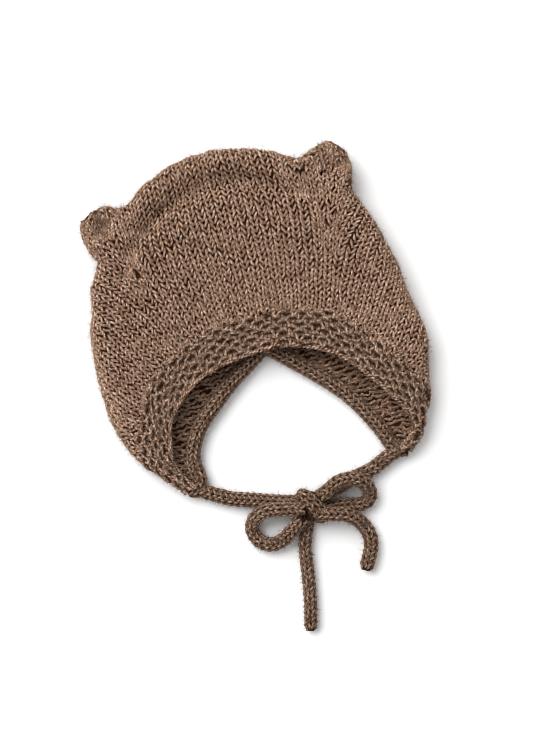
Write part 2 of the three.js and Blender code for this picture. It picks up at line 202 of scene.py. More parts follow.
def wool(name, dark, middle, light):
    """Heathered two-ply wool with painted shade. It reads the attributes that lay_yarn gives each yarn, and
    paints yarn that sinks into the fabric dark.
    """
    material, shader, node = new_material(name)
    place = node("ShaderNodeTexCoord").outputs["Object"]
    run, ply_sin, ply_cos, height = (
        node("ShaderNodeAttribute", attribute_name=key).outputs["Fac"]
        for key in ("yarn_run", "ply_sin", "ply_cos", "yarn_shade_lift")
    )

    def maths(operation, a, b=0.0):
        return node("ShaderNodeMath", {0: a, 1: b}, operation=operation).outputs[0]

    twist = maths("MULTIPLY", run, 4 * math.pi / PLY_TWIST)
    ply = maths(
        "ADD",
        maths("MULTIPLY", ply_sin, maths("COSINE", twist)),
        maths("MULTIPLY", ply_cos, maths("SINE", twist)),
    )
    heather = node("ShaderNodeTexNoise", {"Vector": place, "Scale": 330, "Detail": 4, "Roughness": 0.7})
    fleck = node("ShaderNodeTexNoise", {"Vector": place, "Scale": 1500, "Detail": 2, "Roughness": 0.7})
    mottled = maths(
        "ADD",
        maths("MULTIPLY", heather.outputs["Fac"], 0.5),
        maths("MULTIPLY", fleck.outputs["Fac"], 0.5),
    )
    # The ply term paints the grooves between the two plies darker and their crowns lighter: painted shade and
    # highlight along the yarn.
    tones = node("ShaderNodeValToRGB", {"Fac": maths("ADD", mottled, maths("MULTIPLY", ply, 0.12))})
    stops = tones.color_ramp.elements
    stops[0].position, stops[0].color = 0.31, (*dark, 1)
    stops[1].position, stops[1].color = 0.7, (*light, 1)
    stops.new(0.5).color = (*middle, 1)
    # Painted shade: where the yarn passes through the middle of the fabric it is painted dark, mixed towards
    # the shade colour by its lift.
    unshaded_share = node("ShaderNodeMapRange", {"Value": height, "From Min": 0.0, "From Max": 0.62, "To Min": 0.05})
    shaded = node(
        "ShaderNodeMix",
        {"Factor": unshaded_share.outputs["Result"], 6: (*YARN_SHADE_DARK, 1), 7: tones.outputs["Color"]},
        data_type="RGBA",
    )
    fibre = node("ShaderNodeTexNoise", {"Vector": place, "Scale": 4200, "Detail": 3, "Roughness": 0.75})
    relief = maths("ADD", maths("MULTIPLY", ply, 0.5), maths("MULTIPLY", fibre.outputs["Fac"], 0.8))
    bump = node("ShaderNodeBump", {"Height": relief, "Strength": 1.0, "Distance": 0.00035})
    tree = material.node_tree
    tree.links.new(shaded.outputs[2], shader.inputs["Base Color"])
    tree.links.new(bump.outputs["Normal"], shader.inputs["Normal"])
    shader.inputs["Roughness"].default_value = 0.85
    shader.inputs["Specular IOR Level"].default_value = 0.08
    shader.inputs["Sheen Weight"].default_value = 0.06
    shader.inputs["Sheen Roughness"].default_value = 0.5
    shader.inputs["Sheen Tint"].default_value = (0.6, 0.45, 0.34, 1)
    return material


def curve_mesh(name, paths, radius, roundness):
    """Strands of a given radius along the paths, as one mesh. The paths are in millimetres."""
    curve = bpy.data.curves.new(name, "CURVE")
    curve.dimensions = "3D"
    curve.bevel_depth = radius * MM
    curve.bevel_resolution = roundness
    curve.use_fill_caps = True
    for path in paths:
        strand = curve.splines.new("POLY")
        strand.points.add(len(path) - 1)
        strand.points.foreach_set("co", np.hstack([path * MM, np.ones((len(path), 1))]).ravel())
    holder = bpy.data.objects.new(name, curve)
    bpy.context.collection.objects.link(holder)
    ready = holder.evaluated_get(bpy.context.evaluated_depsgraph_get())
    mesh = bpy.data.meshes.new_from_object(ready)
    bpy.data.objects.remove(holder)
    bpy.data.curves.remove(curve)
    return mesh


def lay_yarn(name, runs, material, radius, halo=1.0):
    """Yarn along its runs, with attributes for how far along, round and out of the fabric a point is.

    A run is its path, the way out of the fabric and the lift out of it, from -1 to 1. halo is the share
    of loose fibres that stand off it.
    """
    for path, _, _ in runs:
        path[:, 2] = np.maximum(path[:, 2], radius + LEAST_CLEAR)
    mesh = curve_mesh(name, [path for path, _, _ in runs], radius, SIX_SIDED)
    centre = np.vstack([path for path, _, _ in runs])
    out = np.vstack([way_out for _, way_out, _ in runs])
    height = np.concatenate([lift for _, _, lift in runs])
    steps = [np.gradient(path, axis=0) for path, _, _ in runs]
    along = unit(np.vstack(steps))
    length = np.concatenate([np.cumsum(np.linalg.norm(step, axis=1)) for step in steps])
    yarn_runs.append((centre, out, np.full(len(centre), halo), material))
    tree = kdtree.KDTree(len(centre))
    for i, point in enumerate(centre * MM):
        tree.insert(point, i)
    tree.balance()
    corners = np.empty(len(mesh.vertices) * 3)
    mesh.vertices.foreach_get("co", corners)
    corners = corners.reshape(-1, 3)
    nearest = np.array([tree.find(corner)[1] for corner in corners])
    across = unit(np.cross(along[nearest], out[nearest]))
    upward = np.cross(across, along[nearest])
    from_centre = corners / MM - centre[nearest]
    angle = np.arctan2((from_centre * upward).sum(1), (from_centre * across).sum(1))
    attributes = {
        "yarn_run": length[nearest],
        "ply_sin": np.sin(2 * angle),
        "ply_cos": np.cos(2 * angle),
        # the lift, from which the wool material paints the yarn's shade
        "yarn_shade_lift": height[nearest],
    }
    for key, values in attributes.items():
        mesh.attributes.new(key, "FLOAT", "POINT").data.foreach_set("value", values.astype(np.float32))
    mesh.materials.append(material)
    laid = bpy.data.objects.new(name, mesh)
    bpy.context.collection.objects.link(laid)
    return laid


def stitches(surface, columns, rows, lean=0.31, reach=1.1, depth=0.95, lift=None):
    """A run of yarn through knitted stitches, one to a column.

    surface gives the place and the way out at a column and row. lean and reach are how far a leg of
    a stitch goes aside and along, in columns and rows, and depth how far it rises and sinks.
    """
    turn = 2 * math.pi * columns
    lift = -np.cos(2 * turn) if lift is None else lift
    place, out = surface(columns + lean * np.sin(2 * turn), rows + reach * np.cos(turn))
    return place + out * (depth * lift)[:, None], out, lift


def knitted_cord(name, centre_line, material, radius, halo, free_end=False):
    """A round cord of CORD_STITCHES stitches to the round, on a core. A free end is rounded off."""
    middle = radius - CORD_YARN_SEAT
    along = length_along(centre_line)
    length = along[-1]
    rows = round(length / CORD_ROW)
    heading = unit(np.gradient(centre_line, axis=0))
    side = unit(np.cross(heading, (0, 0, 1)))

    def read(values, place):
        return np.stack([np.interp(place, along, values[:, i]) for i in range(3)], 1)

    def surface(column, row):
        place = np.clip(row / rows * length, 0, length)
        centre, ahead, aside = read(centre_line, place), unit(read(heading, place)), unit(read(side, place))
        angle = 2 * math.pi * (column / CORD_STITCHES + 0.125)
        out = np.cos(angle)[:, None] * aside + np.sin(angle)[:, None] * np.cross(aside, ahead)
        reach = np.full(len(place), middle)
        if free_end:
            reach *= np.sqrt(1 - np.clip(1 - (length - place + TIP_OVER) / TIP, 0, 1) ** 2)
        return centre + out * reach[:, None], out

    column = np.linspace(0, CORD_STITCHES * rows, CORD_STITCHES * rows * 10 + 1)
    laid = stitches(surface, column, column / CORD_STITCHES, lean=0.29, reach=1.02, depth=0.7)
    yarn = lay_yarn(name, [laid], material, CORD_YARN, halo)
    # The core has no lift attribute, so the wool material paints it almost in its full shade colour: a dark
    # fill for the shade inside the cord.
    core = curve_mesh(name + "_core", [centre_line[2:-2]], middle + 0.1, EIGHT_SIDED)
    core.materials.append(material)
    joined = bmesh.new()
    joined.from_mesh(yarn.data)
    joined.from_mesh(core)
    joined.to_mesh(yarn.data)
    joined.free()
    bpy.data.meshes.remove(core)
    return yarn


def even_line(route, step=1.0):
    """Points about a step apart along a smooth curve through the route, in millimetres."""
    fine = smooth_through(route)(np.linspace(0, 1, 600))
    along = length_along(fine)
    places = np.linspace(0, along[-1], round(along[-1] / step))
    return np.stack([np.interp(places, along, fine[:, i]) for i in range(3)], 1)


# The cords' wool is the bonnet's wool in tones about half as bright: painted shade that darkens the cords.
cord_wool = wool("cord_wool", (0.045, 0.018, 0.007), (0.187, 0.108, 0.068), (0.52, 0.385, 0.3))
cord_lines = {name: even_line(route) for name, route in cord_routes.items()}
# How much fuller than CORD_DIAMETER a cord is all round. Soft wool springs back where it isn't pulled.
fullness = {
    "tie_left": 0.65,
    "tie_right": 0.6,
    "bow_loop_left": 0.5,
    "bow_loop_right": 0.5,
    "tie_end_right": 0.6,
    "tie_end_left": 0.2,
}
CORD_HALO = 1.3
cords = {}
for name, line in cord_lines.items():
    fuller = fullness[name]
    cords[name] = knitted_cord(
        "wool_" + name,
        line + (0, 0, fuller),
        cord_wool,
        CORD_DIAMETER / 2 + fuller,
        CORD_HALO,
        free_end=name in ("tie_end_left", "tie_end_right"),
    )
    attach(cords[name], "root")
    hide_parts(name)

# The knot of the bow.
# The two ties cross and are pulled tight, and one strand of the cord goes slantwise over the front of them.
KNOT_CENTRE = np.array((7.2, -113.6, 7.6))
KNOT_SLANT = math.radians(-60)
KNOT_REACH = 8.2  # from the centre to where the strand turns down
KNOT_RISE = 5.6
KNOT_BEND = 1.8  # how far the strand bends aside on its way over
KNOT_STRAND = 4.5  # its radius, which is the cord's where it bulges
KNOT_LOWEST = 3.9
KNOT_CORE = (6.2 * MM, 8.6 * MM, 6.2 * MM)

turns = np.linspace(-0.62 * math.pi, 1.62 * math.pi, 60)
strand = KNOT_CENTRE + np.stack(
    [
        KNOT_REACH * np.cos(turns) * math.cos(KNOT_SLANT) - KNOT_BEND * np.sin(turns) * math.sin(KNOT_SLANT),
        KNOT_REACH * np.cos(turns) * math.sin(KNOT_SLANT) + KNOT_BEND * np.sin(turns) * math.cos(KNOT_SLANT),
        KNOT_RISE * np.sin(turns),
    ],
    1,
)
strand[:, 2] = np.maximum(strand[:, 2], KNOT_LOWEST)
knot = knitted_cord("wool_knot", even_line(strand[::3]), cord_wool, KNOT_STRAND, CORD_HALO)
# The knot's core has no lift attribute either, so it too is painted almost in the wool's full shade colour,
# as shade inside the knot.
bm = bmesh.new()
bmesh.ops.create_icosphere(bm, subdivisions=3, radius=1)
bmesh.ops.scale(bm, verts=bm.verts, vec=KNOT_CORE)
bmesh.ops.rotate(bm, verts=bm.verts, cent=(0, 0, 0), matrix=Matrix.Rotation(-PHOTO_TURN, 3, "Z"))
bmesh.ops.translate(bm, verts=bm.verts, vec=KNOT_CENTRE * MM)
knot_core = place_mesh("wool_knot_core", bm, cord_wool)
for piece in (knot, knot_core):
    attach(piece, "root")
    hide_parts("bow_knot")

for name, far_end in (
    ("tie_left", "knot"),
    ("tie_right", "knot"),
    ("bow_loop_left", "knot"),
    ("bow_loop_right", "knot"),
    ("tie_end_left", "bare"),
    ("tie_end_right", "bare"),
):
    line = cord_lines[name] * MM

# The shell of the bonnet: the front layer, the fold all round and the back layer.
# It is stockinette of one yarn. Its columns of stitches stand on the band and fan out towards the fold,
# and each row below is a run of yarn through all its stitches.
BONNET_WIDTH, BONNET_LENGTH = 190, 200
KNIT_THICKNESS = 3.6
BAND_WIDTH = 21.7
FRONT_HEIGHT = 24
FOLD_DEPTH = 15  # how far inside the outline the fold is round
NECK_GAP = 0.45  # between the knitting and the cord along the neck
CROWN_DENT_DEPTH, CROWN_DENT_FROM_FOLD, CROWN_DENT_WIDTH = 7.5, 18.5, 7
# Shares of the way over the shell: the front layer's end, the fold's outermost line and the fold's end.
FRONT_END, FOLD_MIDDLE, FOLD_END = 0.38, 0.5, 0.62
STITCH_WIDTH = 4.3  # where the columns start at the band
ROW_HEIGHT = 3.05

# One row for each section, from the left chin corner over the crown to the right one:
# rim x, y and height, fold x, y and height, neck x and y, and the share of the crown's dent.
section_table = [
    (-0.594, -0.89, 0.37, -0.65, -0.915, 0.4, -0.542, -0.87, 0),
    (-0.653, -0.805, 0.38, -0.779, -0.77, 0.5, -0.562, -0.78, 0),
    (-0.693, -0.71, 0.42, -0.932, -0.57, 0.68, -0.558, -0.7, 0),
    (-0.679, -0.6, 0.49, -0.996, -0.3, 0.84, -0.526, -0.63, 0),
    (-0.637, -0.47, 0.56, -0.968, 0.13, 0.91, -0.474, -0.55, 0),
    (-0.532, -0.355, 0.61, -0.826, 0.52, 0.92, -0.376, -0.464, 0.3),
    (-0.358, -0.25, 0.65, -0.474, 0.87, 0.92, -0.21, -0.335, 1),
    (-0.126, -0.205, 0.66, -0.063, 0.996, 0.92, -0.063, -0.245, 1),
    (0.084, -0.195, 0.66, 0.347, 0.91, 0.92, 0.032, -0.192, 0.9),
    (0.295, -0.238, 0.66, 0.684, 0.675, 0.92, 0.126, -0.26, 0.28),
    (0.484, -0.345, 0.63, 0.866, 0.36, 0.91, 0.253, -0.37, 0),
    (0.642, -0.515, 0.58, 0.977, -0.13, 0.88, 0.421, -0.53, 0),
    (0.753, -0.67, 0.51, 0.993, -0.44, 0.8, 0.526, -0.67, 0),
    (0.81, -0.79, 0.45, 0.942, -0.66, 0.68, 0.589, -0.78, 0),
    (0.813, -0.845, 0.41, 0.895, -0.8, 0.57, 0.616, -0.835, 0),
    (0.758, -0.91, 0.39, 0.826, -0.92, 0.45, 0.637, -0.885, 0),
    (0.699, -0.955, 0.37, 0.751, -0.985, 0.4, 0.646, -0.925, 0),
]
half_x, half_y = (BONNET_WIDTH - KNIT_THICKNESS) / 2, (BONNET_LENGTH - KNIT_THICKNESS) / 2
section_line = smooth_through(
    np.array(section_table)
    * (half_x, half_y, FRONT_HEIGHT, half_x, half_y, FRONT_HEIGHT, half_x, half_y, CROWN_DENT_DEPTH)
)


def shell(at, t):
    """The middle of the fabric at a place along the rim and a share of the way over, round and back under."""
    at, t = np.broadcast_arrays(np.asarray(at, float), np.asarray(t, float))
    row, ahead, behind = (section_line(at + d) for d in (0, 1e-4, -1e-4))
    run = unit((ahead - behind)[..., 6:8])
    rim, rim_z, fold, fold_z = row[..., 0:2], row[..., 2], row[..., 3:5], row[..., 5]
    neck = row[..., 6:8] + np.stack([-run[..., 1], run[..., 0]], -1) * (CORD_DIAMETER / 2 + NECK_GAP)
    back_z = KNIT_THICKNESS / 2
    side_z = (fold_z + back_z) / 2
    front_run = np.linalg.norm(fold - rim, axis=-1)
    back_run = np.linalg.norm(neck - fold, axis=-1)
    flat_front = 1 - np.minimum(FOLD_DEPTH, 0.6 * front_run) / front_run
    round_back = np.minimum(FOLD_DEPTH, 0.6 * back_run) / back_run

    def pressed(from_fold):
        return row[..., 8] * np.exp(-(((from_fold - CROWN_DENT_FROM_FOLD) / CROWN_DENT_WIDTH) ** 2))

    over = np.clip(t / FRONT_END, 0, 1)
    front_z = rim_z + (fold_z - rim_z) * np.sin(over * math.pi / 2)
    front_z = front_z - pressed((1 - over * flat_front) * front_run)
    down = np.clip((t - FRONT_END) / (FOLD_MIDDLE - FRONT_END), 0, 1) * math.pi / 2
    upper_z = side_z + (fold_z - side_z) * np.cos(down)
    upper_z = upper_z - pressed((1 - flat_front) * front_run * (1 - np.sin(down)))
    under = np.clip((t - FOLD_MIDDLE) / (FOLD_END - FOLD_MIDDLE), 0, 1) * math.pi / 2
    lower_z = side_z - (side_z - back_z) * np.sin(under)
    home = np.clip((t - FOLD_END) / (1 - FOLD_END), 0, 1)

    z = np.select([t < FRONT_END, t < FOLD_MIDDLE, t < FOLD_END], [front_z, upper_z, lower_z], back_z)
    out_share = np.where(t < FRONT_END, over * flat_front, flat_front + (1 - flat_front) * np.sin(down))
    in_share = np.where(t < FOLD_END, round_back * (1 - np.cos(under)), round_back + home * (1 - round_back))
    front = rim + (fold - rim) * out_share[..., None]
    back = fold + (neck - fold) * in_share[..., None]
    plan = np.where((t < FOLD_MIDDLE)[..., None], front, back)
    return np.concatenate([plan, z[..., None]], -1)


# The two ears are small bags that stand out of the fold, knitted on with the front layer.
# For each: its middle along the rim, which way it points, how far it reaches from the fold, half its width,
# how much fuller its one side is, the height of its middle and its thickness.
ears = {
    "ear_left": (0.335, 138, 17.6, 15.4, 0.04, 12.5, 16),
    "ear_right": (0.557, 49, 17.8, 15.2, -0.12, 11, 13),
}
# The hollows pressed into an ear's front: across and out from its seat, length, breadth, turn and depth.
ear_hollows = {
    "ear_left": [(2, 7, 7.5, 7.5, 0, 11)],
    "ear_right": [(-4.5, 6, 7, 5.5, 0, 4.5), (2.5, 6, 11, 2.4, 28, 5)],
}
EAR_FOOT = 17  # how far inside the fold an ear begins
ear_seats = {}  # for each ear: the place on the fold, the way across and the way out
for name, (middle, way, *_) in ears.items():
    out_way = np.array((math.cos(math.radians(way)), math.sin(math.radians(way))))
    across_way = np.array((out_way[1], -out_way[0]))
    ear_seats[name] = (shell(np.array([middle]), np.array([0.5]))[0, :2], across_way, out_way)


def eared_shell(at, t):
    """The shell with its two ears drawn out of the fold."""
    place = shell(at, t)
    t = np.broadcast_to(t, place.shape[:-1])
    plain = place.copy()
    for name, (_, _, reach, half, skew, lift, thick) in ears.items():
        seat, across_way, out_way = ear_seats[name]
        from_seat = plain[..., :2] - seat
        across, inner = from_seat @ across_way, from_seat @ out_way
        x = np.clip(across / half, -1, 1)
        width_share = (1 - np.abs(x) ** 3) ** 0.8 * (1 + skew * x)
        rise = np.clip((inner + EAR_FOOT) / EAR_FOOT, 0, 1)
        rise = rise**2 * (3 - 2 * rise) * (inner > -EAR_FOOT)
        drawn = reach * width_share * rise
        place[..., :2] += drawn[..., None] * out_way
        beyond = np.clip((inner + drawn + 2) / np.maximum(reach * width_share + 2, 1e-6), 0, 1)
        puff = (thick / 2 - 1) * (np.sqrt(1.05 - beyond**4) - 0.22) / 0.8
        wanted = lift + np.where(t < FOLD_MIDDLE, puff, -puff)
        weight = np.clip(width_share * rise * 1.3, 0, 1)
        place[..., 2] += (wanted - place[..., 2]) * weight
        for hollow_across, hollow_out, long, broad, turn, depth in ear_hollows[name]:
            dx, dy = across - hollow_across, inner + drawn - hollow_out
            cosine, sine = math.cos(math.radians(turn)), math.sin(math.radians(turn))
            endways, sideways = (dy * cosine + dx * sine) / long, (dx * cosine - dy * sine) / broad
            near = np.exp(-((endways**2 + sideways**2) ** 1.5))
            place[..., 2] -= depth * near * (t < FOLD_MIDDLE)
    return place


def shell_slopes(at, t):
    """How the shell's place changes along the rim and across it, and the way out of the fabric."""
    a0, a1 = np.clip(at - 2e-4, 0, 1), np.clip(at + 2e-4, 0, 1)
    t0, t1 = np.clip(t - 2e-4, 0, 1), np.clip(t + 2e-4, 0, 1)
    along = (eared_shell(a1, t) - eared_shell(a0, t)) / (a1 - a0)[..., None]
    across = (eared_shell(at, t1) - eared_shell(at, t0)) / (t1 - t0)[..., None]
    return along, across, unit(np.cross(along, across))


share_steps = np.linspace(0, 1, 241)


def share_at_length(at, length):
    """The shares of the way over the shell where the fabric has run a given length from the rim."""
    line = shell(np.asarray(at)[:, None], share_steps[None, :])
    runs = np.cumsum(np.linalg.norm(np.diff(line, axis=1), axis=2), axis=1)
    runs = np.hstack([np.zeros((len(runs), 1)), runs])
    return np.array([np.interp(length, run, share_steps) for run in runs])


def even_places(points, spacing):
    """Indices, in fractions, of places a given length apart along a line of points."""
    along = length_along(points)
    count = round(along[-1] / spacing)
    return np.interp(np.linspace(0, along[-1], count + 1), along, np.arange(len(points)))


hand = np.random.default_rng(7)


def wander(places, size, seed):
    """Smooth unevenness of about one over the fabric, in lumps of a given size, as hand knitting has."""
    dice = np.random.default_rng(seed)
    waves, phases = dice.normal(size=(9, 3)) * 2.2 / size, dice.uniform(0, 2 * math.pi, 9)
    return np.sin(places @ waves.T + phases).sum(-1) / 2.1


def grid_surface(place, out):
    """The place and the way out between the points of a grid of columns and rows."""
    last_column, last_row = place.shape[0] - 1, place.shape[1] - 1

    def surface(column, row):
        column, row = np.clip(column, 0, last_column - 1e-6), np.clip(row, -1, last_row + 1)
        c, r = column.astype(int), np.clip(np.floor(row), 0, last_row - 1).astype(int)
        u, v = (column - c)[:, None], (row - r)[:, None]

        def mix(values):
            low = values[c, r] * (1 - u) + values[c + 1, r] * u
            high = values[c, r + 1] * (1 - u) + values[c + 1, r + 1] * u
            return low * (1 - v) + high * v

        return mix(place), unit(mix(out))

    return surface


FAN_LEAN = 0.42  # degrees that a column leans for each millimetre from the middle
SIDE_TURN = 18  # degrees that the columns outside the ears turn further, level with SIDE_TURN_Y
SIDE_TURN_Y = 40
# The line that runs down from each ear, outside which the columns turn: its top, its way and its side.
ear_lines = (((-66, 65), (0.395, -0.919), -1), ((61.5, 68.7), (-0.333, -0.943), 1))


def column_heading(place):
    """Which way the columns of the front go, as an angle. The two sides turn away below the ears."""
    x, y = place[:, 0], place[:, 1]
    lean = FAN_LEAN * x / (1 + np.exp((y - 38) / 14))
    for top, way, side in ear_lines:
        rel = place[:, :2] - top
        down = rel @ np.array(way)
        beside = side * (rel @ np.array((-way[1], way[0])))
        share = np.clip(beside / (7 + 0.25 * np.clip(down, 0, 90)), 0, 1) * np.clip(down / 6 + 1, 0, 1)
        share = share**2 * (3 - 2 * share)
        turned = FAN_LEAN * x + side * SIDE_TURN * np.exp(-(((y - SIDE_TURN_Y) / 18) ** 2))
        lean = lean * (1 - share) + turned * share
    return np.radians(91 - lean)


# The columns start evenly along the outer edge of the band and are followed row by row over the shell.
# Where two of them come too far apart a new one begins between them, as at an increase, and where they
# come too near each other one ends.
MOST_ROWS, SUBSTEPS = 70, 4
WIDENED = 0.14  # how much larger the stitches are once WIDENING_ROWS have been knitted
WIDENING_ROWS = 26
WIDE, NARROW = 1.42, 0.58  # gaps at which a column begins and ends, in widths of a stitch
ROWS_UNDER = 11  # how many rows a column goes on past the outermost line of the fold
LAST_SHARE = 0.645  # the share of the way over the shell past which no column goes
edge_at = np.linspace(0.004, 0.996, 900)
edge_t = share_at_length(edge_at, BAND_WIDTH)
on_front = edge_t < 0.57
edge_at, edge_t = edge_at[on_front], edge_t[on_front]
starts = even_places(shell(edge_at, edge_t), STITCH_WIDTH)
at = np.interp(starts, np.arange(len(edge_at)), edge_at)
t = np.interp(starts, np.arange(len(edge_at)), edge_t)
along, across, out = shell_slopes(at, t)
heading = unit(np.cross(out, unit(np.gradient(eared_shell(at, t), axis=0))))
ids, next_id = np.arange(len(at)), len(at)
linked = np.ones(len(at) - 1, bool)
under = np.zeros(len(at), int)  # how many rows a column has gone since it turned down at the fold
rows = []
for row in range(MOST_ROWS):
    place = eared_shell(at, t)
    rows.append((ids, place, out, linked))
    growth = 1 + WIDENED * min(1, row / WIDENING_ROWS)
    for _ in range(SUBSTEPS):
        angle = column_heading(eared_shell(at, t))
        wanted = np.stack([np.cos(angle), np.sin(angle), np.zeros_like(angle)], 1)
        trust = np.clip((0.45 - t) / 0.07, 0, 1) * min(1, row / 5)
        heading = heading * (1 - trust[:, None]) + wanted * trust[:, None]
        heading = unit(heading - out * (heading * out).sum(1, keepdims=True))
        aa, bb, ab = (along**2).sum(1), (across**2).sum(1), (along * across).sum(1)
        step = ROW_HEIGHT * growth / SUBSTEPS
        ha, hb = (heading * along).sum(1) * step, (heading * across).sum(1) * step
        scale = 1 / np.maximum(aa * bb - ab**2, 1e-9)
        at = np.clip(at + np.clip((ha * bb - hb * ab) * scale, -0.01, 0.01), 0.002, 0.998)
        t = np.clip(t + np.clip((hb * aa - ha * ab) * scale, -0.05, 0.05), 0, 0.98)
        along, across, out = shell_slopes(at, t)
    here = eared_shell(at, t)
    gap = np.linalg.norm(np.diff(here, axis=0), axis=1)
    under = np.where(t > 0.46, under + 1, 0)
    keep = (t < LAST_SHARE) & (under < ROWS_UNDER)
    crowded = np.concatenate([[False], (gap < NARROW * STITCH_WIDTH) & linked])
    crowded[1:] &= ~crowded[:-1]
    order = []
    for k in range(len(at)):
        if keep[k] and not crowded[k]:
            order.append((k, k))
        paired = k < len(at) - 1 and linked[k] and keep[k] and keep[k + 1]
        if paired and max(under[k : k + 2]) < 4 and gap[k] > WIDE * STITCH_WIDTH * growth:
            order.append((k, k + 1))
    if len(order) < 4:
        break
    first, second = np.array(order).T
    fresh = first != second
    linked = np.array(
        [
            (b - a <= 1 or crowded[a + 1 : b].all()) and linked[a:b].all()
            for a, b in zip(second[:-1], first[1:])
        ]
    )
    ids = np.where(fresh, next_id + np.cumsum(fresh) - 1, ids[first])
    next_id += int(fresh.sum())
    at, t, under = (at[first] + at[second]) / 2, (t[first] + t[second]) / 2, under[first]
    heading = unit(heading[first] + heading[second])
    along, across, out = shell_slopes(at, t)

knit_wool = wool("knit_wool", (0.09, 0.036, 0.014), (0.355, 0.204, 0.129), (0.93, 0.7, 0.55))
EYELETS = [(-57.5, 39.6), (60, 45.9), (55.7, 42.2)]  # small holes where stitches were made, below the ears
EYELET_PUSH, EYELET_SIZE = 1.6, 2.7
FRONT_YARN, EAR_YARN = 0.79, 0.86
EAR_START, EAR_HALF = 1.5, 19  # what of the fabric is an ear: so far out from its seat, and so far across
LONGEST_ROW, LONGEST_STITCH = 1.25 * ROW_HEIGHT, 13
front_runs, ear_runs = [], {name: [] for name in ears}
for r in range(len(rows) - 1):
    ids, place, out, linked = rows[r]
    before = {i: p for i, p in zip(rows[r - 1][0], rows[r - 1][1])} if r else {}
    after = {i: p for i, p in zip(rows[r + 1][0], rows[r + 1][1])}
    low = np.array([before.get(i, 2 * p - after.get(i, p)) for i, p in zip(ids, place)])
    high = np.array([after.get(i, 2 * p - q) for i, p, q in zip(ids, place, low)])
    low, high = (place + no_longer(end - place, LONGEST_ROW) for end in (low, high))
    linked = linked & (np.linalg.norm(np.diff(place, axis=0), axis=1) < LONGEST_STITCH)
    grid = np.stack([low, place, high], 1)
    way_along, way_up = unit(np.gradient(place, axis=0)), unit(high - low)
    grid = grid + (
        out * (0.45 * wander(place, 8, 3) + 0.12 * hand.normal(size=len(place)))[:, None]
        + way_along * (0.35 * wander(place, 7, 4) + 0.2 * hand.normal(size=len(place)))[:, None]
        + way_up * (0.3 * wander(place, 7, 5) + 0.15 * hand.normal(size=len(place)))[:, None]
    )[:, None]
    bounds = np.concatenate([[0], np.flatnonzero(~linked) + 1, [len(ids)]])
    for a, b in zip(bounds[:-1], bounds[1:]):
        if b - a < 3:
            continue
        columns = np.linspace(0, b - a - 1, (b - a - 1) * 9 + 1)
        surface = grid_surface(grid[a:b], np.repeat(out[a:b, None], 3, 1))
        path, way_out, lift = stitches(surface, columns, np.ones(len(columns)))
        for eyelet in EYELETS:
            away = path[:, :2] - eyelet
            apart = np.linalg.norm(away, axis=1, keepdims=True).clip(0.05)
            push = EYELET_PUSH * np.exp(-((apart / EYELET_SIZE) ** 2)) * (path[:, 2:] > FRONT_HEIGHT / 2)
            path[:, :2] += away / apart * push
        owner = np.zeros(len(path), int)
        for number, (name, (seat, across_way, out_way)) in enumerate(ear_seats.items(), 1):
            rel = path[:, :2] - seat
            owner[(rel @ out_way > EAR_START) & (np.abs(rel @ across_way) < EAR_HALF)] = number
        cuts = np.concatenate([[0], np.flatnonzero(np.diff(owner)) + 1, [len(path)]])
        for c, d in zip(cuts[:-1], cuts[1:]):
            d = min(d + 1, len(path))
            if d - c > 2:
                part = (path[c:d], way_out[c:d], lift[c:d])
                (front_runs if owner[c] == 0 else ear_runs[list(ears)[owner[c] - 1]]).append(part)
tally = np.cumsum([len(path) for path, _, _ in front_runs])
thirds = tally * 3 // (tally[-1] + 1)
for number, name in enumerate(("lower", "middle", "crown")):
    part = [run for run, third in zip(front_runs, thirds) if third == number]
    piece = lay_yarn("wool_front_" + name, part, knit_wool, FRONT_YARN)
    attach(piece, "root")
    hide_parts("bonnet_body")
for name, part in ear_runs.items():
    # On the ears the painted shade is held lighter: no yarn there is painted darker than at a lift of 0.12.
    part = [(path, way_out, np.maximum(lift, 0.12)) for path, way_out, lift in part]
    piece = lay_yarn("wool_" + name, part, knit_wool, EAR_YARN, halo=1.6)
    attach(piece, "root")
    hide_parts(name)

# The back layer on the table.
# Its smooth side is down, so the rows of bumps of its wrong side show inside the face opening.
BACK_STITCH, BACK_ROW = 4.7, 2.8
BACK_ROWS = 35  # either side of the middle, which takes in the bonnet's whole length
BACK_YARN = 1.05
BACK_EDGE = 0.598  # the share of the way over the shell where the back layer's rows end

rim_places = np.linspace(0, 1, 260)
back_edge = shell(rim_places, np.full(260, BACK_EDGE))[:, :2]
neck_edge = (shell(rim_places, np.ones(260))[:, :2] * 0.6 + section_line(rim_places)[:, 6:8] * 0.4)[::-1]
outline = np.vstack([back_edge, neck_edge])
outline = np.vstack([outline, outline[:1]])


def back_surface(column, row):
    """The place and the way out, which is down, at a column and row of the back layer."""
    place = np.stack([column * BACK_STITCH, row * BACK_ROW, np.full(len(row), KNIT_THICKNESS / 2)], 1)
    uneven = (0.6 * wander(place, 2.8, 21), 0.5 * wander(place, 2.8, 22), 0.4 * wander(place, 3, 23))
    return place + np.stack(uneven, 1), np.tile((0.0, 0.0, -1.0), (len(row), 1))


back_courses = []
for row in range(-BACK_ROWS, BACK_ROWS + 1):
    y = row * BACK_ROW
    low, high = outline[:-1, 1], outline[1:, 1]
    crossing = np.flatnonzero((low > y) != (high > y))
    share = (y - low[crossing]) / (high[crossing] - low[crossing])
    ends = np.sort(outline[crossing, 0] + share * (outline[crossing + 1, 0] - outline[crossing, 0]))
    for left, right in zip(ends[::2], ends[1::2]):
        if right - left > 4:
            count = int((right - left) / BACK_STITCH * 9)
            columns = np.linspace(left, right, count) / BACK_STITCH
            course = np.full(count, float(row))
            path, way_out, lift = stitches(back_surface, columns, course, lean=0.27, reach=1.15)
            # Painted shade: the yarn is painted darker through the fabric's middle, and the bumps that face
            # up into the bonnet darker than the legs that lie on the table.
            back_courses.append((path, way_out, np.where(lift > 0.5, lift, 0.3 - 0.12 * lift)))
back = lay_yarn("wool_back", back_courses, knit_wool, BACK_YARN, halo=0.2)
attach(back, "root")
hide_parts("bonnet_body")
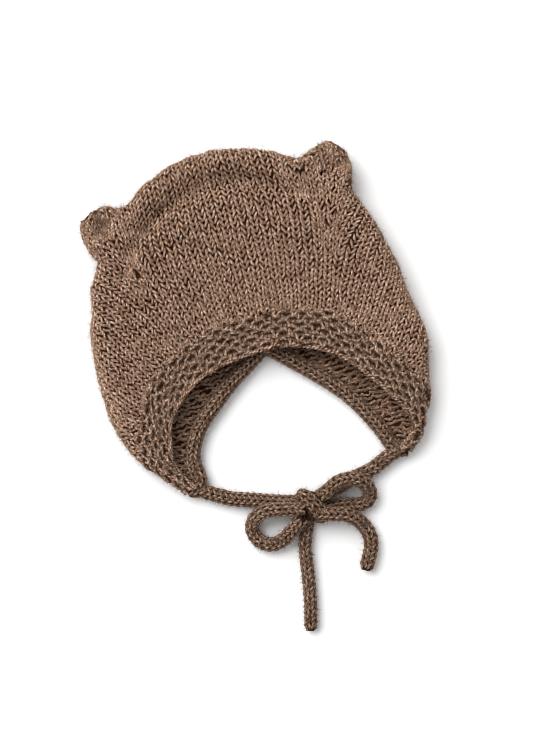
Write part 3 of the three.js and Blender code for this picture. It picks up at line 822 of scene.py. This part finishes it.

# The ground of the fabric.
# A thin sheet just under the yarn, over the front, round the fold and back to the neck, lets little light
# through the gaps between the loops.
# It is painted almost black as painted shade for those gaps: with no lift attribute the wool material gives
# it nearly the full shade colour.
GROUND_INSET, GROUND_INSET_IN_EARS = 0.5, 1.3
GROUND_THICKNESS = 0.3
ground_wool = wool("gap_shade_wool", (0.03, 0.009, 0.002), (0.07, 0.024, 0.008), (0.16, 0.07, 0.035))
bm = bmesh.new()
bmesh.ops.create_grid(bm, x_segments=280, y_segments=64, size=0.5)
corner = np.array([(v.co.x + 0.5, v.co.y + 0.5) for v in bm.verts])
corner[:, 0] = corner[:, 0] * 0.996 + 0.002
corner[:, 1] = 0.012 + corner[:, 1] * 0.984
_, _, out = shell_slopes(corner[:, 0], corner[:, 1])
outside = eared_shell(corner[:, 0], corner[:, 1])
in_ears = np.linalg.norm(outside - shell(corner[:, 0], corner[:, 1]), axis=1)
inside = outside - out * (GROUND_INSET + GROUND_INSET_IN_EARS * np.clip(in_ears / 6, 0, 1))[:, None]
for vertex, place in zip(bm.verts, inside * MM):
    vertex.co = place
for face in bm.faces:
    face.smooth = True
ground = place_mesh("gap_shade_sheet", bm, ground_wool)
wall = ground.modifiers.new("thickness", "SOLIDIFY")
wall.thickness = GROUND_THICKNESS * MM
wall.offset = 0
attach(ground, "root")
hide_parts("bonnet_body")

# The moss stitch band along the face edge.
# Knit and purl stitches change places in every row, so its surface is all small bumps,
# and its cast-on edge is a thin twisted line.
BAND_STITCH, BAND_ROW = 4.4, 2.75
BAND_ROWS = 9
BAND_YARN, CAST_ON_YARN = 0.88, 0.8
CAST_ON_TWIST = 4.6  # how far along the edge its two strands turn once round each other
CAST_ON_REACH = 0.85

rim_fine = np.linspace(0.002, 0.998, 700)
band_at = np.interp(even_places(shell(rim_fine, np.zeros(700)), BAND_STITCH), np.arange(700), rim_fine)
band_place, band_out = [], []
for row in range(BAND_ROWS):
    t = share_at_length(band_at, 0.4 + row * BAND_ROW)
    band_place.append(shell(band_at, t))
    band_out.append(shell_slopes(band_at, np.clip(t, 0.004, 0.996))[2])
band_place, band_out = np.array(band_place).swapaxes(0, 1), np.array(band_out).swapaxes(0, 1)
way_along, way_up = unit(np.gradient(band_place, axis=0)), unit(np.gradient(band_place, axis=1))
shape = band_place.shape[:2]
band_place = (
    band_place
    + band_out * (0.4 * wander(band_place, 8, 13) + 0.36 * hand.normal(size=shape))[..., None]
    + way_along * (0.45 * wander(band_place, 6, 14) + 0.65 * hand.normal(size=shape))[..., None]
    + way_up * (0.35 * wander(band_place, 6, 15) + 0.6 * hand.normal(size=shape))[..., None]
)
band_surface = grid_surface(band_place, band_out)
# The band's wool is the bonnet's wool in darker tones: painted shade that darkens the band.
band_wool = wool("band_wool", (0.065, 0.026, 0.009), (0.275, 0.158, 0.1), (0.82, 0.62, 0.49))
band_courses = []
for row in range(BAND_ROWS - 1):
    columns = np.linspace(0, len(band_at) - 1, (len(band_at) - 1) * 11 + 1)
    swap = np.cos(math.pi * (columns + row))
    knit = swap / np.maximum(np.abs(swap), 0.5)  # 1 through a knit stitch, -1 through a purl one
    arch = np.cos(4 * math.pi * columns)
    # The lift sets how far the yarn sinks and also its painted shade; a purl stitch's legs go no lower than
    # -0.1, so they are painted mid-dark rather than black.
    lift = -arch * (1 + knit) / 2 + (0.45 + 0.55 * arch) * (1 - knit) / 2
    course = np.full(len(columns), row + 0.5)
    lean, reach = 0.27 + 0.05 * knit, 0.95 + 0.24 * knit
    band_courses.append(stitches(band_surface, columns, course, lean, reach, lift=lift))
band = lay_yarn("wool_band", band_courses, band_wool, BAND_YARN)

edge_steps = np.linspace(0.003, 0.997, 1500)
edge_line = shell(edge_steps, np.zeros(1500))
_, edge_across, edge_out = shell_slopes(edge_steps, np.full(1500, 0.004))
edge_inward = -unit(edge_across)
edge_length = length_along(edge_line)
ropes = []
for start in (0, math.pi):
    angle = edge_length / CAST_ON_TWIST * 2 * math.pi + start
    aside = edge_inward * (0.2 + CAST_ON_REACH * np.cos(angle))[:, None]
    rope = edge_line + aside + edge_out * (CAST_ON_REACH * np.sin(angle))[:, None]
    # The third value sets the rope's painted shade: it is painted darker where its twist takes it into the
    # fabric.
    ropes.append((rope[::3], edge_out[::3], np.sin(angle[::3]) * 0.5 + 0.5))
cast_on = lay_yarn("wool_cast_on_edge", ropes, band_wool, CAST_ON_YARN)
for piece in (band, cast_on):
    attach(piece, "root")
    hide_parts("front_band")

# The neck edging.
# It is a cord knitted like the ties, along the neck edge, and it goes on as the two ties at the chin corners.
NECK_CORD, NECK_CORD_HEIGHT = 4.5, 4.4  # its radius and the height of its middle
left_corner, right_corner = [(-59, -88.5), (-54, -88.5)], [(63, -93.5), (68.5, -95.2)]
neck_route = np.vstack([left_corner, section_line(np.linspace(0, 1, 41))[1:-1, 6:8], right_corner])
neck_line = np.hstack([neck_route, np.full((len(neck_route), 1), NECK_CORD_HEIGHT)])
neck_edging = knitted_cord("wool_neck_edging", even_line(neck_line), cord_wool, NECK_CORD, 1.2)
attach(neck_edging, "root")
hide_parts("neck_edging")

# The halo of loose fibres.
# The yarn is carded wool, and fine short hairs of it stand off all the knitting. They show most along
# the outline, so more of them grow where the fabric faces sideways.
BODY_FIBRES, CORD_FIBRES = 15000, 10000
FIBRE_RADIUS = 0.04
SHORTEST_FIBRE, LONGEST_FIBRE = 0.7, 2.9
LOWEST_FIBRE = 0.12
halo_wool, halo_shader, node = new_material("halo_fibre")
halo_shader.inputs["Roughness"].default_value = 0.8
halo_shader.inputs["Specular IOR Level"].default_value = 0.1
halo_tone = node("ShaderNodeTexNoise", {"Vector": node("ShaderNodeTexCoord").outputs["Object"], "Scale": 90})
halo_ramp = node("ShaderNodeValToRGB", {"Fac": halo_tone.outputs["Fac"]})
halo_ramp.color_ramp.elements[0].color = (0.13, 0.08, 0.05, 1)
halo_ramp.color_ramp.elements[1].color = (0.4, 0.285, 0.205, 1)
halo_wool.node_tree.links.new(halo_ramp.outputs["Color"], halo_shader.inputs["Base Color"])

for name, slot, count in (
    ("bonnet_body", "knit_wool", BODY_FIBRES),
    ("neck_edging", "cord_wool", CORD_FIBRES),
):
    laid = [run for run in yarn_runs if (run[3] == cord_wool) == (slot == "cord_wool")]
    roots, ways_out = np.vstack([run[0] for run in laid]), np.vstack([run[1] for run in laid])
    sideways = np.clip(1 - np.abs(ways_out[:, 2]), 0, 1)
    weights = np.concatenate([run[2] for run in laid]) * (0.12 + sideways**2)
    fibres = []
    for i in hand.choice(len(roots), count, p=weights / weights.sum()):
        way = unit(hand.normal(size=3) * 0.9 + ways_out[i] * hand.uniform(0, 1))
        length = hand.uniform(SHORTEST_FIBRE, LONGEST_FIBRE)
        fibre = roots[i] + np.outer((0.4, 1), ways_out[i] * 0.8) + np.outer((0, length), way)
        fibre[:, 2] = np.maximum(fibre[:, 2], LOWEST_FIBRE)
        fibres.append(fibre)
    halo_mesh = curve_mesh("halo_of_" + name, fibres, FIBRE_RADIUS, FOUR_SIDED)
    halo_mesh.materials.append(halo_wool)
    halo = bpy.data.objects.new("halo_of_" + name, halo_mesh)
    bpy.context.collection.objects.link(halo)
    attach(halo, "root")
    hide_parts(name)
